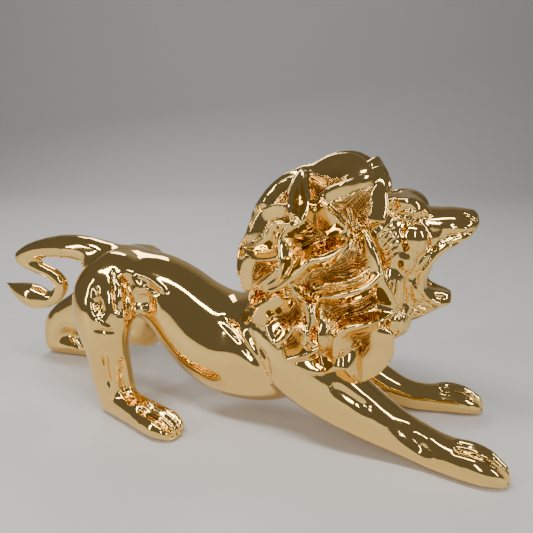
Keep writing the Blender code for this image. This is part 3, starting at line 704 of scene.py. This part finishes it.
def castLion():
    lion = markForm(buildBody(), 0)
    for number, other in enumerate((buildHead(), buildMane()), 1):
        markForm(other, number)
        finishWith(lion, "BOOLEAN", operation="UNION", solver="MANIFOLD", object=other)
        bpy.data.objects.remove(other, do_unlink=True)
    dropMidpoints(lion)
    print("cast in one", len(lion.data.polygons))
    carve(lion, faceStrokes())
    softenSeams(lion)
    pick(lion)
    bpy.ops.object.mode_set(mode="EDIT")
    bpy.ops.mesh.select_all(action="SELECT")
    bpy.ops.mesh.bisect(plane_co=(0, 0, sculpt["soleLevel"] * mm), plane_no=(0, 0, -1), use_fill=True,
                        clear_outer=True)
    bpy.ops.mesh.select_all(action="SELECT")
    bpy.ops.mesh.quads_convert_to_tris()
    bpy.ops.object.mode_set(mode="OBJECT")
    spots = (getPoints(lion) + np.array(sculpt["moveToFrame"]) * mm) * sculpt["fitShare"]
    spots[:, 2] = np.maximum(spots[:, 2], 0)
    setPoints(lion, spots)
    thinOut(lion)
    lion.name = lion.data.name = "lionCasting"
    print("triangles", len(lion.data.polygons))
    return lion


gold = {
    "bright": (0.92, 0.62, 0.2, 1),
    # painted shade: a darker, more orange gold for the mane's recesses, standing in for their shade and
    # the gold-on-gold reflections there
    "paintedShade": (0.44, 0.21, 0.035, 1),
    "paintedShadeShare": (0.75, 1.1),  # how the grain varies the painted shade
    "polishedRoughness": (0.035, 0.075),  # where the polish is best and where it is worst
    "strandRoughness": 0.17,
    "fineStrands": 3,  # fine lines to each modelled strand
    "strandDepth": 0.00022,
    "grain": (1100, 2),  # scale and detail of each noise
    "grainDepth": 0.0001,
    "smear": (55, 4),
    "ripple": (42, 1),
    "rippleDepth": 0.00012,
    "noiseRange": (0.3, 0.7),  # where nearly all of a noise lies
}


def goldMaterial():
    material = bpy.data.materials.new("polishedGold")
    material.use_nodes = True
    nodes, links = material.node_tree.nodes, material.node_tree.links
    shader = nodes["Principled BSDF"]
    shader.inputs["Metallic"].default_value = 1.0
    place = nodes.new("ShaderNodeTexCoord")

    def readValue(name):
        node = nodes.new("ShaderNodeAttribute")
        node.attribute_name = name
        return node.outputs["Fac"]

    def noise(scale, detail):
        node = nodes.new("ShaderNodeTexNoise")
        node.inputs["Scale"].default_value = scale
        node.inputs["Detail"].default_value = detail
        links.new(place.outputs["Object"], node.inputs["Vector"])
        return node.outputs["Fac"]

    def work(operation, first, second):
        node = nodes.new("ShaderNodeMath")
        node.operation = operation
        for socket, value in zip(node.inputs, (first, second)):
            if isinstance(value, (int, float)):
                socket.default_value = value
            else:
                links.new(value, socket)
        return node.outputs["Value"]

    def spread(value, least, most):  # brings a noise into this range
        node = nodes.new("ShaderNodeMapRange")
        limits = (*gold["noiseRange"], least, most)
        for name, number in zip(("From Min", "From Max", "To Min", "To Max"), limits):
            node.inputs[name].default_value = number
        links.new(value, node.inputs["Value"])
        return node.outputs["Result"]

    def bump(height, depth, under):
        node = nodes.new("ShaderNodeBump")
        node.inputs["Distance"].default_value = depth
        links.new(height, node.inputs["Height"])
        if under:
            links.new(under, node.inputs["Normal"])
        return node.outputs["Normal"]

    paintedShade, stranded, across = readValue("paintedShade"), readValue("stranded"), readValue("across")
    grain = noise(*gold["grain"])
    # painted shade: the gold is mixed towards the shade colour by the stored painted-shade amount
    tint = nodes.new("ShaderNodeMix")
    tint.data_type = "RGBA"
    tint.inputs["A"].default_value = gold["bright"]
    tint.inputs["B"].default_value = gold["paintedShade"]
    links.new(work("MULTIPLY", paintedShade, spread(grain, *gold["paintedShadeShare"])), tint.inputs["Factor"])
    links.new(tint.outputs["Result"], shader.inputs["Base Color"])
    polish = spread(noise(*gold["smear"]), *gold["polishedRoughness"])
    links.new(work("ADD", polish, work("MULTIPLY", stranded, gold["strandRoughness"])),
              shader.inputs["Roughness"])
    lines = work("COSINE", work("MULTIPLY", across, gold["fineStrands"] * 2 * math.pi), 0)
    ripple = bump(noise(*gold["ripple"]), gold["rippleDepth"], None)
    combed = bump(work("MULTIPLY", lines, stranded), gold["strandDepth"], ripple)
    grainy = bump(work("MULTIPLY", grain, stranded), gold["grainDepth"], combed)
    links.new(grainy, shader.inputs["Normal"])
    return material


lion = castLion()
lion.data.materials.clear()
lion.data.materials.append(goldMaterial())
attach(lion, "root")
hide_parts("lion")
print("lion gilded")

studio = {
    "floorColour": (0.7, 0.68, 0.65, 1),
    "floorRoughness": 0.6,
    "halfWidth": 4.0,
    "front": -3.0,  # where the floor starts
    "back": 0.9,  # where it curves up, with this radius and then this much wall
    "curve": 0.7,
    "wall": 1.2,
    "rows": 60,
    "flatRows": 0.1,  # the share of the rows that lie on the flat floor
    "turn": 16.5,  # square to the camera
    "world": (0.13, 0.13, 0.135, 1),
    "lightsMeet": (0, 0, 0.08),  # what every light points at
    # place, size along, size across, turn of the strip, power
    "lights": {
        "topStrip": ((-0.05, -0.35, 0.95), 0.9, 0.1, 0, 7.0),
        "leftStrip": ((-0.75, -0.75, 0.55), 0.7, 0.09, 90, 4.0),
        "frontStrip": ((0.35, -1.0, 0.6), 0.5, 0.07, 90, 2.5),
        "rightStrip": ((0.95, -0.35, 0.5), 0.5, 0.1, 90, 3.0),
        "backLight": ((-0.45, 0.75, 0.8), 0.5, 0.3, 0, 4.0),
    },
}


def plainMaterial(name, colour, roughness):
    material = bpy.data.materials.new(name)
    material.use_nodes = True
    shader = material.node_tree.nodes["Principled BSDF"]
    shader.inputs["Base Color"].default_value = colour
    shader.inputs["Roughness"].default_value = roughness
    return material


def buildFloor():  # a floor that curves up into the backdrop, so that no edge shows
    deselectAll()
    bpy.ops.mesh.primitive_grid_add(x_subdivisions=2, y_subdivisions=studio["rows"], size=2)
    floor = bpy.context.object
    floor.name = "floor"
    spots = getPoints(floor)
    flat, arc = studio["back"] - studio["front"], studio["curve"] * math.pi / 2
    row, share = (spots[:, 1] + 1) / 2, studio["flatRows"]
    rising = (row - share) / (1 - share) * (arc + studio["wall"])
    run = np.where(row < share, row / share * flat, flat + rising)
    turn = np.clip((run - flat) / studio["curve"], 0, math.pi / 2)
    spots[:, 0] *= studio["halfWidth"]
    spots[:, 1] = studio["front"] + np.minimum(run, flat) + studio["curve"] * np.sin(turn)
    spots[:, 2] = studio["curve"] * (1 - np.cos(turn)) + np.maximum(run - flat - arc, 0)
    setPoints(floor, spots)
    floor.rotation_euler.z = math.radians(studio["turn"])
    pick(floor)
    bpy.ops.object.shade_smooth()
    pale = plainMaterial("paleFloor", studio["floorColour"], studio["floorRoughness"])
    floor.data.materials.append(pale)


def addSoftLight(name, place, along, across, turn, power):
    deselectAll()
    bpy.ops.object.light_add(type="AREA", location=place)
    light = bpy.context.object
    light.name = name
    light.data.shape = "RECTANGLE"
    light.data.size, light.data.size_y = along, across
    light.data.energy = power
    forward = Vector(studio["lightsMeet"]) - Vector(place)
    light.rotation_euler = forward.to_track_quat("-Z", "Y").to_euler()
    light.rotation_euler.rotate_axis("Z", math.radians(turn))


camera = {
    "place": (0.12507, -0.32499, 0.20990),
    "down": 17,
    "turn": 16.5,
    "sensor": 36,
    "focal": 545 / 533,  # as a share of the picture's width
}


def addCamera():
    deselectAll()
    turned = (math.radians(90 - camera["down"]), 0, math.radians(camera["turn"]))
    bpy.ops.object.camera_add(location=camera["place"], rotation=turned)
    shot = bpy.context.object
    shot.data.sensor_width = camera["sensor"]
    shot.data.lens = camera["sensor"] * camera["focal"]
    shot.data.dof.use_dof = False
    bpy.context.scene.camera = shot


buildFloor()
for name, values in studio["lights"].items():
    addSoftLight(name, *values)
world = bpy.data.worlds.new("studio")
world.use_nodes = True
world.node_tree.nodes["Background"].inputs["Color"].default_value = studio["world"]
bpy.context.scene.world = world
addCamera()
print("floor, lights and camera set")
